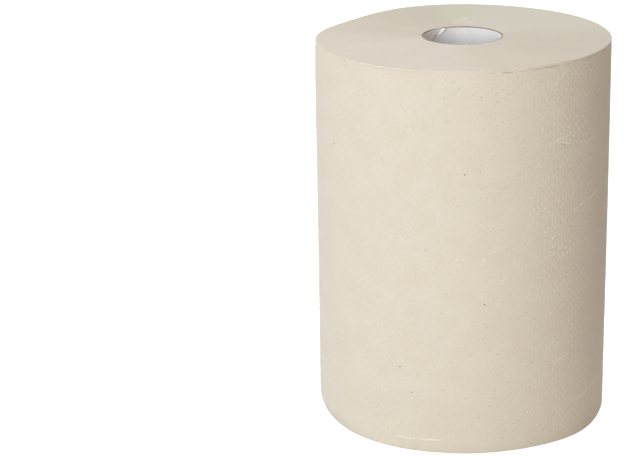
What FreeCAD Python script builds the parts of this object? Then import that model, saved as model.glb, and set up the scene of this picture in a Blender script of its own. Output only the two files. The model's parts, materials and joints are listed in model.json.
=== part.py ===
"""Paper towel roll: a web of unbleached one-ply towel wound hard on a card tube, standing on its end.

The origin is the centre of the lower end. +Z runs up the roll's axis, and -Y is the front, where no
loose end shows. All sizes are in millimetres, and angles are in degrees about +Z from +X.
"""
import FreeCAD
import Part
import math
import os
from FreeCAD import Vector

# Driving sizes of the roll
SHEET_WIDTH = 191.0  # the web's width, which is the roll's height on its end
ROLL_RADIUS = 72.5  # to the outside of the last turn
WEB_LENGTH = 82000.0  # towel wound on the roll
TOP_RIM_BEVEL = 0.6  # the saw leaves the upper edge nearly sharp, and the last turns lean in a little
BOTTOM_RIM_RADIUS = 1.2  # the edge that the roll stands on has been pressed rounder
TAIL_ANGLE = 118.0  # where the web ends, at the back

# Driving sizes of the card tube
BORE_RADIUS = 19.0  # the dispenser's spindle or hubs go in here
PLY_THICKNESS = 0.3  # one strip of card or liner
PLY_COUNT = 3  # a white liner inside two plies of brown card
PLY_STRIP_WIDTH = 74.0  # across each strip, square to its edges
SEAM_GAP = 0.8  # open butt joint between the liner's turns, square to the joint
SEAM_TOP_ANGLE = 116.0  # where the liner's joint meets the upper end
TUBE_FIT = 0.0  # the first turn is glued straight on the card

# Driving sizes of the lines that show the turns on the sawn ends
TURN_LINE_PITCH = 8.5  # between two turns that stand apart from their neighbours
TURN_LINE_WIDTH = 0.7
TURN_LINE_DEPTH = 0.2
TURN_LINE_MARGIN = 2.2  # plain paper left beside the tube and beside the rim

# Worked out from the sizes above
TUBE_RADIUS = BORE_RADIUS + PLY_COUNT * PLY_THICKNESS
WINDING_BORE_RADIUS = TUBE_RADIUS + TUBE_FIT
END_AREA = math.pi * (ROLL_RADIUS**2 - WINDING_BORE_RADIUS**2)
WEB_THICKNESS = END_AREA / WEB_LENGTH
SEAM_RISE = math.asin(PLY_STRIP_WIDTH / (2 * math.pi * BORE_RADIUS))
SEAM_PITCH = 2 * math.pi * BORE_RADIUS * math.tan(SEAM_RISE)
OVERRUN = 5.0  # how far a cutting tool runs past the surface that it cuts

UP = Vector(0, 0, 1)
ORIGIN = Vector(0, 0, 0)
HALF_TURN = 180.0


def half_turns(start_radius, growth, halves):
    """Centre, radius and start angle of each half circle of a flat spiral that grows evenly turn by turn.

    The half circles are drawn from two centres by turns, so that each runs smoothly into the next.
    """
    return [
        (
            Vector(growth / 2 * (number % 2), 0, 0),
            start_radius + number * growth / 2,
            HALF_TURN * (number % 2),
        )
        for number in range(halves)
    ]


def swept_half(section, centre, start):
    """A section drawn over +X, turned to its start angle and swept half a turn about its own centre."""
    section.rotate(ORIGIN, UP, start)
    section.translate(centre)
    return section.revolve(centre, UP, HALF_TURN)


def half_section(radius):
    """Half of the roll's upright section, from the axis to the outside, rounded below and bevelled above."""
    round_in = BOTTOM_RIM_RADIUS * (1 - math.sqrt(0.5))
    foot = Vector(radius - BOTTOM_RIM_RADIUS, 0, 0)
    foot_middle = Vector(radius - round_in, 0, round_in)
    wall_foot = Vector(radius, 0, BOTTOM_RIM_RADIUS)
    wall_head = Vector(radius, 0, SHEET_WIDTH - TOP_RIM_BEVEL)
    head = Vector(radius - TOP_RIM_BEVEL, 0, SHEET_WIDTH)
    axis_head = Vector(0, 0, SHEET_WIDTH)
    edges = [
        Part.makeLine(ORIGIN, foot),
        Part.Arc(foot, foot_middle, wall_foot).toShape(),
        Part.makeLine(wall_foot, wall_head),
        Part.makeLine(wall_head, head),
        Part.makeLine(head, axis_head),
        Part.makeLine(axis_head, ORIGIN),
    ]
    return Part.Face(Part.Wire(edges))


def last_turn_body():
    """The roll with no hole: its outside is the last turn's spiral, which steps down at the web's cut end."""
    first, second = [
        swept_half(half_section(radius), centre, start)
        for centre, radius, start in half_turns(ROLL_RADIUS - WEB_THICKNESS, WEB_THICKNESS, 2)
    ]
    body = first.fuse(second).removeSplitter()
    body.rotate(ORIGIN, UP, TAIL_ANGLE)
    return body


def turn_lines(level, outward):
    """Cutters for a shallow V-shaped line that follows one turn in many over the end face at this level.

    Outward is 1 on the upper end and -1 on the lower one. Both ends show the same turns.
    """
    first = WINDING_BORE_RADIUS + TURN_LINE_MARGIN
    last = ROLL_RADIUS - BOTTOM_RIM_RADIUS - TURN_LINE_MARGIN
    halves = math.floor(2 * (last - first) / TURN_LINE_PITCH)
    cutters = []
    for centre, radius, start in half_turns(first, TURN_LINE_PITCH, halves):
        corners = [
            Vector(radius, 0, level - outward * TURN_LINE_DEPTH),
            Vector(radius - TURN_LINE_WIDTH, 0, level + outward * TURN_LINE_DEPTH),
            Vector(radius + TURN_LINE_WIDTH, 0, level + outward * TURN_LINE_DEPTH),
        ]
        section = Part.Face(Part.makePolygon(corners + corners[:1]))
        cutters.append(swept_half(section, centre, start))
    return cutters


def towel_winding():
    """All the turns of the towel as one solid."""
    bore = Part.makeCylinder(WINDING_BORE_RADIUS, SHEET_WIDTH + 2 * OVERRUN, Vector(0, 0, -OVERRUN))
    return last_turn_body().cut([bore] + turn_lines(0, -1) + turn_lines(SHEET_WIDTH, 1))


def seam_groove():
    """Left-handed helical groove through the liner, as wide as the gap where its turns butt together."""
    helix = Part.makeHelix(SEAM_PITCH, SHEET_WIDTH + 2 * OVERRUN, BORE_RADIUS, 0, True)
    half = SEAM_GAP / math.cos(SEAM_RISE) / 2
    corners = [
        Vector(BORE_RADIUS - PLY_THICKNESS, 0, -half),
        Vector(BORE_RADIUS + PLY_THICKNESS, 0, -half),
        Vector(BORE_RADIUS + PLY_THICKNESS, 0, half),
        Vector(BORE_RADIUS - PLY_THICKNESS, 0, half),
    ]
    section = Part.makePolygon(corners + corners[:1])
    groove = helix.makePipeShell([section], True, True)
    groove.translate(Vector(0, 0, -OVERRUN))
    turned_at_top = 360 * (SHEET_WIDTH + OVERRUN) / SEAM_PITCH
    groove.rotate(ORIGIN, UP, SEAM_TOP_ANGLE + turned_at_top)
    return groove


def core_tube():
    """Spirally wound card tube, sawn off level with the web, with the liner's joint open down its bore."""
    blank = Part.makeCylinder(TUBE_RADIUS, SHEET_WIDTH)
    bore = Part.makeCylinder(BORE_RADIUS, SHEET_WIDTH)
    return blank.cut(bore).cut(seam_groove())


def main():
    os.makedirs("parts", exist_ok=True)
    for node in (core_tube, towel_winding):
        shape = node()
        name = node.__name__
        Part.Compound(shape.Solids).exportStep("parts/" + name + ".step")
        print(name, "solids:", len(shape.Solids), "valid:", shape.isValid(), "volume:", round(shape.Volume))


main()
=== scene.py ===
# %% [markdown]
# # A roll of embossed paper towel
#
# The roll stands on one sawn end. It has two parts: a card tube, wound from brown card with a white
# liner, and one long web of towel, wound hard on it. This lesson makes both as meshes, gives them
# paper and card finishes, and lights them like a product on a white table.
#
# The frame holds the two solids at their real size. Everything here is measured from them, in metres.

# %% Load the frame and note the size of the solids
import json
import math
import random

import bmesh
import bpy
import numpy as np
from mathutils import Matrix, Vector
from mathutils.geometry import delaunay_2d_cdt


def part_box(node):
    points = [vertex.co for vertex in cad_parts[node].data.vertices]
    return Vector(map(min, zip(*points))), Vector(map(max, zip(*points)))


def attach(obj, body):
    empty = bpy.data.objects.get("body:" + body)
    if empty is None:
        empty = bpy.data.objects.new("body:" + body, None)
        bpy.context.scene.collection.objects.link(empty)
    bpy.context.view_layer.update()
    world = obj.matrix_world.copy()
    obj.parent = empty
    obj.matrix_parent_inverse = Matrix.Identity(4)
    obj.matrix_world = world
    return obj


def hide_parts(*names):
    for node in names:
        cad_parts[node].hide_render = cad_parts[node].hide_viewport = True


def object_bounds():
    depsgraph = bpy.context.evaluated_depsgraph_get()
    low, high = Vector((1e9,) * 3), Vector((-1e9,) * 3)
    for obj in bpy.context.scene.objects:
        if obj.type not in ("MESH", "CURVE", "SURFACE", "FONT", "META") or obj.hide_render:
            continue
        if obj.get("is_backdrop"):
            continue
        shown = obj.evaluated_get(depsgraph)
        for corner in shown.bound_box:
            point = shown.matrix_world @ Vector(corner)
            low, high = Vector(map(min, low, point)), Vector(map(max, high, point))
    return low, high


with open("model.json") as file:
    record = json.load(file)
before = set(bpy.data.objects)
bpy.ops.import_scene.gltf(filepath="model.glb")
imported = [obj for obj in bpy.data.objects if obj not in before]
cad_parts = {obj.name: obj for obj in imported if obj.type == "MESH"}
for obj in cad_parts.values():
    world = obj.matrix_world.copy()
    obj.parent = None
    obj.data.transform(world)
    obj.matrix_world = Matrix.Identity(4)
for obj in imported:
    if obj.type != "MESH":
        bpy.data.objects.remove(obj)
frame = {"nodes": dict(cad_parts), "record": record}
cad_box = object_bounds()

MM = 0.001

# %% [markdown]
# ## Sizes
#
# The roll's radius, its height and the bore come from the solids, so the paper and the card land where
# the solids are. Only the web's own thickness and the place of its loose end are stated again, because
# a box can't tell them. Places on the roll are given as an angle about the axis, counterclockwise from
# +X, and a height above the table, both in plain degrees and millimetres.

# %% Sizes from the frame
def outer_radius(node):
    """How far a solid reaches from the roll's axis."""
    solid = frame["nodes"][node]
    return max((solid.matrix_world @ vertex.co).xy.length for vertex in solid.data.vertices)


bore = next(mount for mount in frame["record"]["mounts"] if mount["name"] == "core_bore")
ROLL_RADIUS = outer_radius("towel_winding")
ROLL_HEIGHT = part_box("towel_winding")[1].z
TUBE_RADIUS = outer_radius("core_tube")
BORE_RADIUS = bore["dims"]["r_mm"] * MM
WEB_THICKNESS = 0.186 * MM
TAIL_ANGLE = 118.0
GIRTH = 2 * math.pi * ROLL_RADIUS

print("radii in mm:", [round(radius / MM, 2) for radius in (ROLL_RADIUS, TUBE_RADIUS, BORE_RADIUS)])
print("height in mm:", round(ROLL_HEIGHT / MM, 2))


def unrolled(angle, height):
    """Where a place on the wall lies on the unrolled web, in millimetres from the loose end and the table."""
    return ((angle - TAIL_ANGLE) % 360 / 360 * GIRTH / MM, height)


def turn_radius(turn):
    """Radius of the last turn, which spirals out by the web's thickness from its start to its loose end."""
    return ROLL_RADIUS - WEB_THICKNESS * (1 - turn)


# %% [markdown]
# ## Helpers for node trees
#
# Both the geometry and the materials here are node trees built in code. One helper adds a node, fills
# its inputs with values or links, and returns it. The others make one common node each, such as a Math
# node or a noise, and return its result, so that a formula reads nearly as it would on paper.

# %% Node helpers
NUMBER_RESULTS = ("DOT_PRODUCT", "DISTANCE", "LENGTH")


def add(tree, kind, inputs=None, **settings):
    """Adds a node. An input is given by name or number, as a plain value or as the socket that feeds it."""
    made = tree.nodes.new(kind)
    for name, value in settings.items():
        setattr(made, name, value)
    for key, value in (inputs or {}).items():
        if isinstance(value, bpy.types.NodeSocket):
            tree.links.new(value, made.inputs[key])
        else:
            made.inputs[key].default_value = value
    return made


def calc(tree, operation, *values, clamp=False):
    """A Math node on its values, which returns its result's socket."""
    made = add(tree, "ShaderNodeMath", dict(enumerate(values)), operation=operation, use_clamp=clamp)
    return made.outputs[0]


def vector(tree, operation, *values, **named):
    """A Vector Math node on its values, which returns its result: a number for a length or a product."""
    made = add(tree, "ShaderNodeVectorMath", {**dict(enumerate(values)), **named}, operation=operation)
    return made.outputs["Value" if operation in NUMBER_RESULTS else "Vector"]


def joined(tree, x, y, z):
    """Three numbers as one vector."""
    return add(tree, "ShaderNodeCombineXYZ", {0: x, 1: y, 2: z}).outputs[0]


def parted(tree, place):
    """The three numbers of a vector."""
    return add(tree, "ShaderNodeSeparateXYZ", {0: place}).outputs


def ranged(tree, value, low, high, to_low, to_high):
    """A value mapped softly from one range to another and held there."""
    inputs = {"Value": value, "From Min": low, "From Max": high, "To Min": to_low, "To Max": to_high}
    return add(tree, "ShaderNodeMapRange", inputs, interpolation_type="SMOOTHSTEP", clamp=True).outputs[0]


def noise(tree, place, scale, detail=2.0, roughness=0.5, output="Fac"):
    """Soft noise at a place, with this many lumps to a unit."""
    inputs = {"Vector": place, "Scale": scale, "Detail": detail, "Roughness": roughness}
    return add(tree, "ShaderNodeTexNoise", inputs).outputs[output]


def open_group(name, kind, inputs, outputs):
    """A new node group with named sockets, each given as (name, socket type, value or None)."""
    group = bpy.data.node_groups.new(name, kind)
    for direction, sockets in (("INPUT", inputs), ("OUTPUT", outputs)):
        for label, socket_type, value in sockets:
            full_type = "NodeSocket" + socket_type
            socket = group.interface.new_socket(label, in_out=direction, socket_type=full_type)
            if value is not None:
                socket.default_value = value
    return group, group.nodes.new("NodeGroupInput").outputs, group.nodes.new("NodeGroupOutput")


# %% [markdown]
# ## One embossed dot
#
# The towel is pressed between rollers, which leaves rows of small raised dots. Each column of dots sits
# three eighths of a row higher than the one before it, so the rows climb round the roll. A bump map
# could show them, but their edges would vanish against the light at the roll's side. Modelled dots
# keep their outline, so one slanted tile is made here: four corners, a ring of six points and a top.
# Delaunay triangulation joins them with sixteen triangles.

# %% One tile of towel with its dot
COLUMNS = 217
COLUMN_STEP = GIRTH / COLUMNS
ROW_PITCH = 4.0 * MM
COLUMN_SHIFT = 1.5 * MM
DOT_RADIUS = 0.62 * MM
DOT_HEIGHT = 0.64 * MM
DOT_SIDES = 6


def dot_tile():
    """A slanted tile of flat web with one dot, in the XY plane, with its first corner at the origin."""
    centre = Vector((COLUMN_STEP, COLUMN_SHIFT + ROW_PITCH)) / 2
    corners = [(0, 0), (COLUMN_STEP, COLUMN_SHIFT), (COLUMN_STEP, COLUMN_SHIFT + ROW_PITCH), (0, ROW_PITCH)]
    ring = [
        centre + DOT_RADIUS * Vector((math.cos(turn), math.sin(turn)))
        for turn in (2 * math.pi * side / DOT_SIDES for side in range(DOT_SIDES))
    ]
    flat = [Vector(corner) for corner in corners] + ring + [centre]
    points, _, faces, *_ = delaunay_2d_cdt(flat, [], [], 0, 1e-9)
    tops = [DOT_HEIGHT if (point - centre).length < DOT_RADIUS / 2 else 0.0 for point in points]
    mesh = bpy.data.meshes.new("dot_tile")
    mesh.from_pydata([(*point, top) for point, top in zip(points, tops)], [], faces)
    return mesh


tile = dot_tile()
print("tile:", len(tile.vertices), "vertices,", len(tile.polygons), "triangles")

# %% [markdown]
# ## The web's outside, as Geometry Nodes
#
# Ten thousand dots repeat by a simple rule, which is what Geometry Nodes are for. A point is made for
# each dot from its index alone, the tile is placed on every point with a height of its own, and
# the tiles are merged into one sheet. Slow noise shifts the sheet's points, because real towel stretches
# and its dots never line up like print. The sheet is then wrapped: its length becomes an angle, its
# height stays, and its relief is added to the radius of the last turn. Towards both ends the dots
# fade out, where the saw has flattened them, and they are flatter on the two sides that were pressed
# against other rolls. The relief is also kept as an attribute, which the towel's finish uses to paint
# the tops of the dots paler, as a painted highlight.

# %% The tree that wraps the web
WEB_ROWS = math.ceil(ROLL_HEIGHT / ROW_PITCH) + 3
ROWS_BELOW = 2
LEAST_RELIEF = 0.45
RELIEF_SPREAD = 0.45
RIM_FADE = 2.2 * MM
FLAT_SIDE = 180.0
FLAT_FROM = 0.4
FLAT_RELIEF = 0.35
DOT_STRAY = 3.2 * MM
STRAY_SIZE = 4.5 * MM
HELD_COLUMNS = 4
MERGE_REACH = 0.02 * MM


def embossed_web_tree():
    """Geometry Nodes that lay the tile in slanted columns and wrap them into the last turn."""
    tree, given, output = open_group(
        "embossed_web",
        "GeometryNodeTree",
        [
            ("Tile", "Geometry", None),
            ("Columns", "Int", COLUMNS),
            ("Rows", "Int", WEB_ROWS),
            ("Column Step", "Float", COLUMN_STEP),
            ("Row Pitch", "Float", ROW_PITCH),
            ("Column Shift", "Float", COLUMN_SHIFT),
            ("Dot Height", "Float", DOT_HEIGHT),
            ("Least Relief", "Float", LEAST_RELIEF),
            ("Relief Spread", "Float", RELIEF_SPREAD),
            ("Rim Fade", "Float", RIM_FADE),
            ("Flat Side", "Float", math.radians(FLAT_SIDE)),
            ("Flat Relief", "Float", FLAT_RELIEF),
            ("Stray", "Float", DOT_STRAY),
            ("Stray Size", "Float", STRAY_SIZE),
            ("Roll Radius", "Float", ROLL_RADIUS),
            ("Roll Height", "Float", ROLL_HEIGHT),
            ("Web Thickness", "Float", WEB_THICKNESS),
            ("Tail Angle", "Float", math.radians(TAIL_ANGLE)),
            ("Seed", "Int", 7),
            ("Paper", "Material", None),
        ],
        [("Web", "Geometry", None)],
    )
    index = add(tree, "GeometryNodeInputIndex").outputs[0]
    column = calc(tree, "FLOOR", calc(tree, "DIVIDE", calc(tree, "ADD", index, 0.5), given["Rows"]))
    row = calc(tree, "SUBTRACT", index, calc(tree, "MULTIPLY", column, given["Rows"]))
    lift = calc(tree, "MODULO", calc(tree, "MULTIPLY", column, given["Column Shift"]), given["Row Pitch"])
    low = calc(tree, "MULTIPLY", calc(tree, "SUBTRACT", row, ROWS_BELOW), given["Row Pitch"])
    height = calc(tree, "ADD", low, lift)
    place = joined(tree, calc(tree, "MULTIPLY", column, given["Column Step"]), height, 0)
    count = calc(tree, "MULTIPLY", given["Columns"], given["Rows"])
    points = add(tree, "GeometryNodePoints", {"Count": count, "Position": place}).outputs[0]

    middle = calc(tree, "ADD", height, calc(tree, "MULTIPLY", given["Row Pitch"], 0.5))
    from_end = calc(tree, "MINIMUM", middle, calc(tree, "SUBTRACT", given["Roll Height"], middle))
    from_fade = calc(tree, "SUBTRACT", from_end, given["Rim Fade"])
    fade = calc(tree, "DIVIDE", from_fade, given["Rim Fade"], clamp=True)
    chance = add(tree, "FunctionNodeRandomValue", {"Seed": given["Seed"]}, data_type="FLOAT").outputs[1]
    uneven = calc(tree, "MULTIPLY_ADD", chance, given["Relief Spread"], given["Least Relief"])
    around = calc(tree, "MULTIPLY", calc(tree, "DIVIDE", column, given["Columns"]), 2 * math.pi)
    apart = calc(tree, "SUBTRACT", calc(tree, "ADD", around, given["Tail Angle"]), given["Flat Side"])
    to_flat = calc(tree, "ABSOLUTE", calc(tree, "COSINE", apart))
    flattened = ranged(tree, to_flat, FLAT_FROM, 1.0, 1.0, given["Flat Relief"])
    relief = calc(tree, "MULTIPLY", calc(tree, "MULTIPLY", uneven, flattened), fade)
    tiles = add(
        tree,
        "GeometryNodeInstanceOnPoints",
        {"Points": points, "Instance": given["Tile"], "Scale": joined(tree, 1, 1, relief)},
    ).outputs[0]
    sheet = add(tree, "GeometryNodeRealizeInstances", {0: tiles}).outputs[0]
    merged = add(tree, "GeometryNodeMergeByDistance", {"Geometry": sheet, "Distance": MERGE_REACH}).outputs[0]

    laid = add(tree, "GeometryNodeInputPosition").outputs[0]
    flat = parted(tree, laid)
    length = calc(tree, "MULTIPLY", given["Columns"], given["Column Step"])
    from_tail = calc(tree, "MINIMUM", flat[0], calc(tree, "SUBTRACT", length, flat[0]))
    held_reach = calc(tree, "MULTIPLY", given["Column Step"], HELD_COLUMNS)
    held = calc(tree, "DIVIDE", from_tail, held_reach, clamp=True)
    lumps = noise(tree, laid, calc(tree, "DIVIDE", 1, given["Stray Size"]), detail=0.0, output="Color")
    strays = parted(tree, lumps)
    reach = calc(tree, "MULTIPLY", given["Stray"], held)
    sideways, upwards = [
        calc(tree, "MULTIPLY", calc(tree, "SUBTRACT", stray, 0.5), reach) for stray in (strays[0], strays[1])
    ]
    moved = {"Geometry": merged, "Offset": joined(tree, sideways, upwards, 0)}
    web = add(tree, "GeometryNodeSetPosition", moved).outputs[0]
    turn = calc(tree, "DIVIDE", flat[0], length)
    # The dot's share of its full height, kept to paint a highlight on the dot tops.
    dot_highlight = calc(tree, "DIVIDE", flat[2], given["Dot Height"])
    for label, value in (("turn", turn), ("dot_highlight", dot_highlight)):
        kept = {"Geometry": web, "Name": label, "Value": value}
        web = add(tree, "GeometryNodeStoreNamedAttribute", kept, data_type="FLOAT", domain="POINT").outputs[0]

    inner = calc(tree, "MULTIPLY", given["Web Thickness"], calc(tree, "SUBTRACT", turn, 1))
    radius = calc(tree, "ADD", calc(tree, "ADD", given["Roll Radius"], inner), flat[2])
    angle = calc(tree, "ADD", given["Tail Angle"], calc(tree, "MULTIPLY", turn, 2 * math.pi))
    x = calc(tree, "MULTIPLY", radius, calc(tree, "COSINE", angle))
    y = calc(tree, "MULTIPLY", radius, calc(tree, "SINE", angle))
    wrapped = {"Geometry": web, "Position": joined(tree, x, y, flat[1])}
    web = add(tree, "GeometryNodeSetPosition", wrapped).outputs[0]
    web = add(tree, "GeometryNodeSetShadeSmooth", {"Geometry": web}).outputs[0]
    web = add(tree, "GeometryNodeRealizeInstances", {0: web}).outputs[0]
    web = add(tree, "GeometryNodeSetMaterial", {"Geometry": web, "Material": given["Paper"]}).outputs[0]
    tree.links.new(web, output.inputs["Web"])
    return tree


# %% Run a tree and keep its mesh
def plain_mesh(name, mesh, tree, **inputs):
    """The mesh that a Geometry Nodes tree makes of this one, with no modifier left."""
    holder = bpy.data.objects.new(name, mesh)
    bpy.context.collection.objects.link(holder)
    modifier = holder.modifiers.new(name, "NODES")
    modifier.node_group = tree
    for item in tree.interface.items_tree:
        if item.in_out == "INPUT" and item.name in inputs:
            modifier[item.identifier] = inputs[item.name]
    evaluated = holder.evaluated_get(bpy.context.evaluated_depsgraph_get())
    result = bpy.data.meshes.new_from_object(evaluated)
    bpy.data.objects.remove(holder)
    result.name = name
    result.materials.clear()
    return result


wall_paper = bpy.data.materials.new("towel_wall")
end_paper = bpy.data.materials.new("sawn_turns")
web_mesh = plain_mesh("embossed_web", tile, embossed_web_tree(), Paper=wall_paper)
print("web:", len(web_mesh.polygons), "triangles,", len(web_mesh.vertices), "vertices")

# %% [markdown]
# ## Joining rings of different counts
#
# The dotted wall, the rims and the sawn ends need different numbers of points, so they can't be joined
# by simple quads. A zip does it: walk along both chains at once, always step on the one that lags
# behind, and lay a triangle at each step. Every chain is a list of (progress, vertex). Round the roll
# progress runs from 0 to 1 over a full turn, and up the web's cut end it is the height.

# %% The zip
SHARP_ANGLE = math.radians(35)


def sharpen(mesh):
    """Keeps smooth shading from running over real edges."""
    for edge in mesh.edges:
        edge.smooth = edge.calc_face_angle(0) < SHARP_ANGLE


def zip_chains(mesh, first, second, material):
    """Fills the band between two chains with triangles and gives them a material slot."""
    a, b = 0, 0
    while a < len(first) - 1 or b < len(second) - 1:
        on_first = b == len(second) - 1 or (a < len(first) - 1 and first[a + 1][0] <= second[b + 1][0])
        if on_first:
            corners = (first[a][1], first[a + 1][1], second[b][1])
            a += 1
        else:
            corners = (second[b][1], second[b + 1][1], first[a][1])
            b += 1
        if len(set(corners)) == len(corners):
            face = mesh.faces.new(corners)
            face.material_index = material
            face.smooth = True


def turned(radius, angle, height):
    """The point at this radius, angle in degrees and height."""
    return (radius * math.cos(math.radians(angle)), radius * math.sin(math.radians(angle)), height)


def ring_chain(mesh, count, start, place):
    """A closed ring of new vertices as a chain. place(turn) gives each one's radius and height."""
    chain = []
    for step in range(count):
        radius, height = place(step / count)
        chain.append((step / count, mesh.verts.new(turned(radius, start + 360 * step / count, height))))
    return chain + [(1.0, chain[0][1])]


# %% [markdown]
# ## The sawn ends
#
# On both ends the turns show as faint rings, which are really one spiral. The solid has one line in
# every 8.5 mm, as a shallow groove. The end is therefore built as a sheet of spirals: row after row,
# each starting at +X and ending where the row six further out starts. One row in six is the groove, and
# the others lie at slightly different heights, as a bundle of turns does when a saw has passed. Slow
# noise along the turns lets every ring fade in and out.

# %% Heights of the sawn turns
LINE_PITCH = 8.5 * MM
LINE_START = TUBE_RADIUS + 2.2 * MM
LINE_DEPTH = 0.2 * MM
ROW_PLACES = [0.0, 0.075, 0.3, 0.5, 0.7, 0.925]
ROWS_TO_A_LINE = len(ROW_PLACES)
SPIRAL_ROWS = 29
SPIRAL_STEPS = 120
PLAIN_DEPTHS = (0.0, 0.05)
LINE_DEPTHS = (0.2, 0.6)
RING_FADE = 0.35
rng = np.random.default_rng(31)
row_depth = rng.uniform(*PLAIN_DEPTHS, SPIRAL_ROWS + ROWS_TO_A_LINE) * MM
row_depth[::ROWS_TO_A_LINE] = rng.uniform(*LINE_DEPTHS, len(row_depth[::ROWS_TO_A_LINE])) * LINE_DEPTH
row_phase = rng.uniform(0, 2 * math.pi, (ROWS_TO_A_LINE, 3))


def turn_relief(row, turn):
    """How far a row lies below the end's plane. After a turn it meets the row one groove further out."""
    phases = row_phase[row % ROWS_TO_A_LINE]
    slow = sum(math.sin(beat * 2 * math.pi * turn + phases[beat - 1]) for beat in (1, 2, 3)) / 3
    depth = row_depth[row] * (1 - turn) + row_depth[row + ROWS_TO_A_LINE] * turn
    along = row + ROWS_TO_A_LINE * turn
    from_ends = min(along, SPIRAL_ROWS - 1 - along)
    return depth * (1 - RING_FADE + RING_FADE * slow) * min(max(from_ends / ROWS_TO_A_LINE, 0.0), 1.0)


def sawn_end(mesh, level, outward):
    """The spiral rows of one end. Returns its outer and inner edges as chains that start at +X."""
    rows = []
    for row in range(SPIRAL_ROWS):
        start = LINE_START + (row // ROWS_TO_A_LINE + ROW_PLACES[row % ROWS_TO_A_LINE]) * LINE_PITCH
        verts = []
        for step in range(SPIRAL_STEPS):
            turn = step / SPIRAL_STEPS
            place = turned(start + turn * LINE_PITCH, 360 * turn, level - outward * turn_relief(row, turn))
            verts.append(mesh.verts.new(place))
        rows.append(verts)
    for row in range(SPIRAL_ROWS - 1):
        for step in range(SPIRAL_STEPS):
            if step < SPIRAL_STEPS - 1:
                corners = (rows[row][step], rows[row][step + 1], rows[row + 1][step + 1], rows[row + 1][step])
            elif row + ROWS_TO_A_LINE + 1 < SPIRAL_ROWS:
                seam = (rows[row + ROWS_TO_A_LINE][0], rows[row + ROWS_TO_A_LINE + 1][0])
                corners = (rows[row][step], seam[0], seam[1], rows[row + 1][step])
            else:
                continue
            face = mesh.faces.new(corners)
            face.material_index = 1
            face.smooth = True
    last = SPIRAL_STEPS - 1
    outer = [(step / SPIRAL_STEPS, rows[-1][step]) for step in range(SPIRAL_STEPS)]
    outer += [(last / SPIRAL_STEPS, rows[-1 - back][last]) for back in range(1, ROWS_TO_A_LINE + 1)]
    outer += [(1.0, rows[-1][0])]
    inner = [(step / SPIRAL_STEPS, rows[0][step]) for step in range(SPIRAL_STEPS)]
    inner += [(1.0, rows[ROWS_TO_A_LINE - back][0]) for back in range(ROWS_TO_A_LINE + 1)]
    return outer, inner


print("grooves on an end, in mm:", [round(depth / MM, 3) for depth in row_depth[::ROWS_TO_A_LINE]])

# %% [markdown]
# ## The rims
#
# Between the wall and the sawn end, three rings shape the rim. The upper one is nearly sharp, with the
# last turns leaning in a little, and the saw has left a ragged lip on some stretches, which the towel's
# finish paints pale as a painted highlight. The lower one has been pressed rounder by standing. The
# rings follow the last turn's spiral, so the step at the loose end runs on over the rim. A stretch of
# lip is (angle, width in degrees, reach in mm), and a ring is (points, millimetres in from the last turn,
# millimetres from the end's plane, share of the lip outwards, share of it upwards).

# %% Ragged edges
RIM_STEPS = 600
LIP_STRETCHES = [(233, 14, 0.6), (217, 3, 0.8), (287, 5, 0.6), (305, 30, 0.3)]
LIP_EVEN = 0.45
LIP_ROUGH = 0.8
SAW_ROUGH = 0.03
RAGGED_LENGTH = 7
RAGGED_SIZE = 0.6
ragged = rng.normal(0, 1, RIM_STEPS)
ragged = sum(np.roll(ragged, step) for step in range(RAGGED_LENGTH)) / RAGGED_LENGTH**0.5 * RAGGED_SIZE
UPPER_RIM = [
    (RIM_STEPS, -0.02, 0.3, 1.0, 0.0),
    (RIM_STEPS, 0.14, 0.03, 1.0, 0.4),
    (RIM_STEPS // 2, 1.1, 0.0, 0.0, 0.0),
]
LOWER_RIM = [
    (RIM_STEPS // 2, 0.3, 0.42, 0.0, 0.0),
    (RIM_STEPS // 2, 1.2, 0.0, 0.0, 0.0),
    (RIM_STEPS // 4, 2.0, 0.0, 0.0, 0.0),
]
WALL_TOP = ROLL_HEIGHT - 0.8 * MM
WALL_FOOT = 1.2 * MM


def bell(angle, centre, width):
    """One at this angle, falling away evenly on both sides over about this width, all in degrees."""
    apart = (angle - centre + 180) % 360 - 180
    return np.exp(-((apart / width) ** 2))


def lip(turn):
    """How far the ragged lip stands out at this part of the turn."""
    angle = TAIL_ANGLE + 360 * turn
    reach = sum(size * bell(angle, centre, width) for centre, width, size in LIP_STRETCHES)
    rough = ragged[round(turn * RIM_STEPS) % RIM_STEPS]
    return (max(0.0, reach * (LIP_EVEN + LIP_ROUGH * rough)) + SAW_ROUGH * rough) * MM


def rim_ring(mesh, level, outward, count, inset, below, lip_out, lip_up):
    """One ring of a rim as a chain that starts at the loose end."""

    def place(turn):
        radius = turn_radius(turn) - inset * MM + lip_out * lip(turn)
        return radius, level - outward * below * MM + lip_up * lip(turn)

    return ring_chain(mesh, count, TAIL_ANGLE, place)


lip_reach = max(lip(step / RIM_STEPS) for step in range(RIM_STEPS))
print("the lip stands out by up to", round(lip_reach / MM, 2), "mm")

# %% [markdown]
# ## One closed body
#
# The wall is cut level at both rims, and then everything is zipped together from the outside in: wall,
# three rim rings, the sawn end, and the hole for the tube. The web's cut end is a thin step, which joins
# the two upright edges of the wall. Two small triangles close its corners.

# %% Join the wall, the rims and the ends
LEVEL_TOLERANCE = 1e-6
TURN_TOLERANCE = 1e-5
HOLE_CLEARANCE = 0.02 * MM


def cut_edge(wall, turn, level):
    """The wall's vertices along the cut at this level, walked from the start of the turn to its end."""
    on_cut = {vert for vert in wall if abs(vert.co.z - level) < LEVEL_TOLERANCE}
    path = [min(on_cut, key=lambda vert: vert[turn])]
    seen = set(path)
    while path:
        ahead = [edge.other_vert(path[-1]) for edge in path[-1].link_edges if edge.is_boundary]
        ahead = [vert for vert in ahead if vert in on_cut and vert not in seen]
        if not ahead:
            return path
        path.append(ahead[0])
        seen.add(ahead[0])


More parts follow.
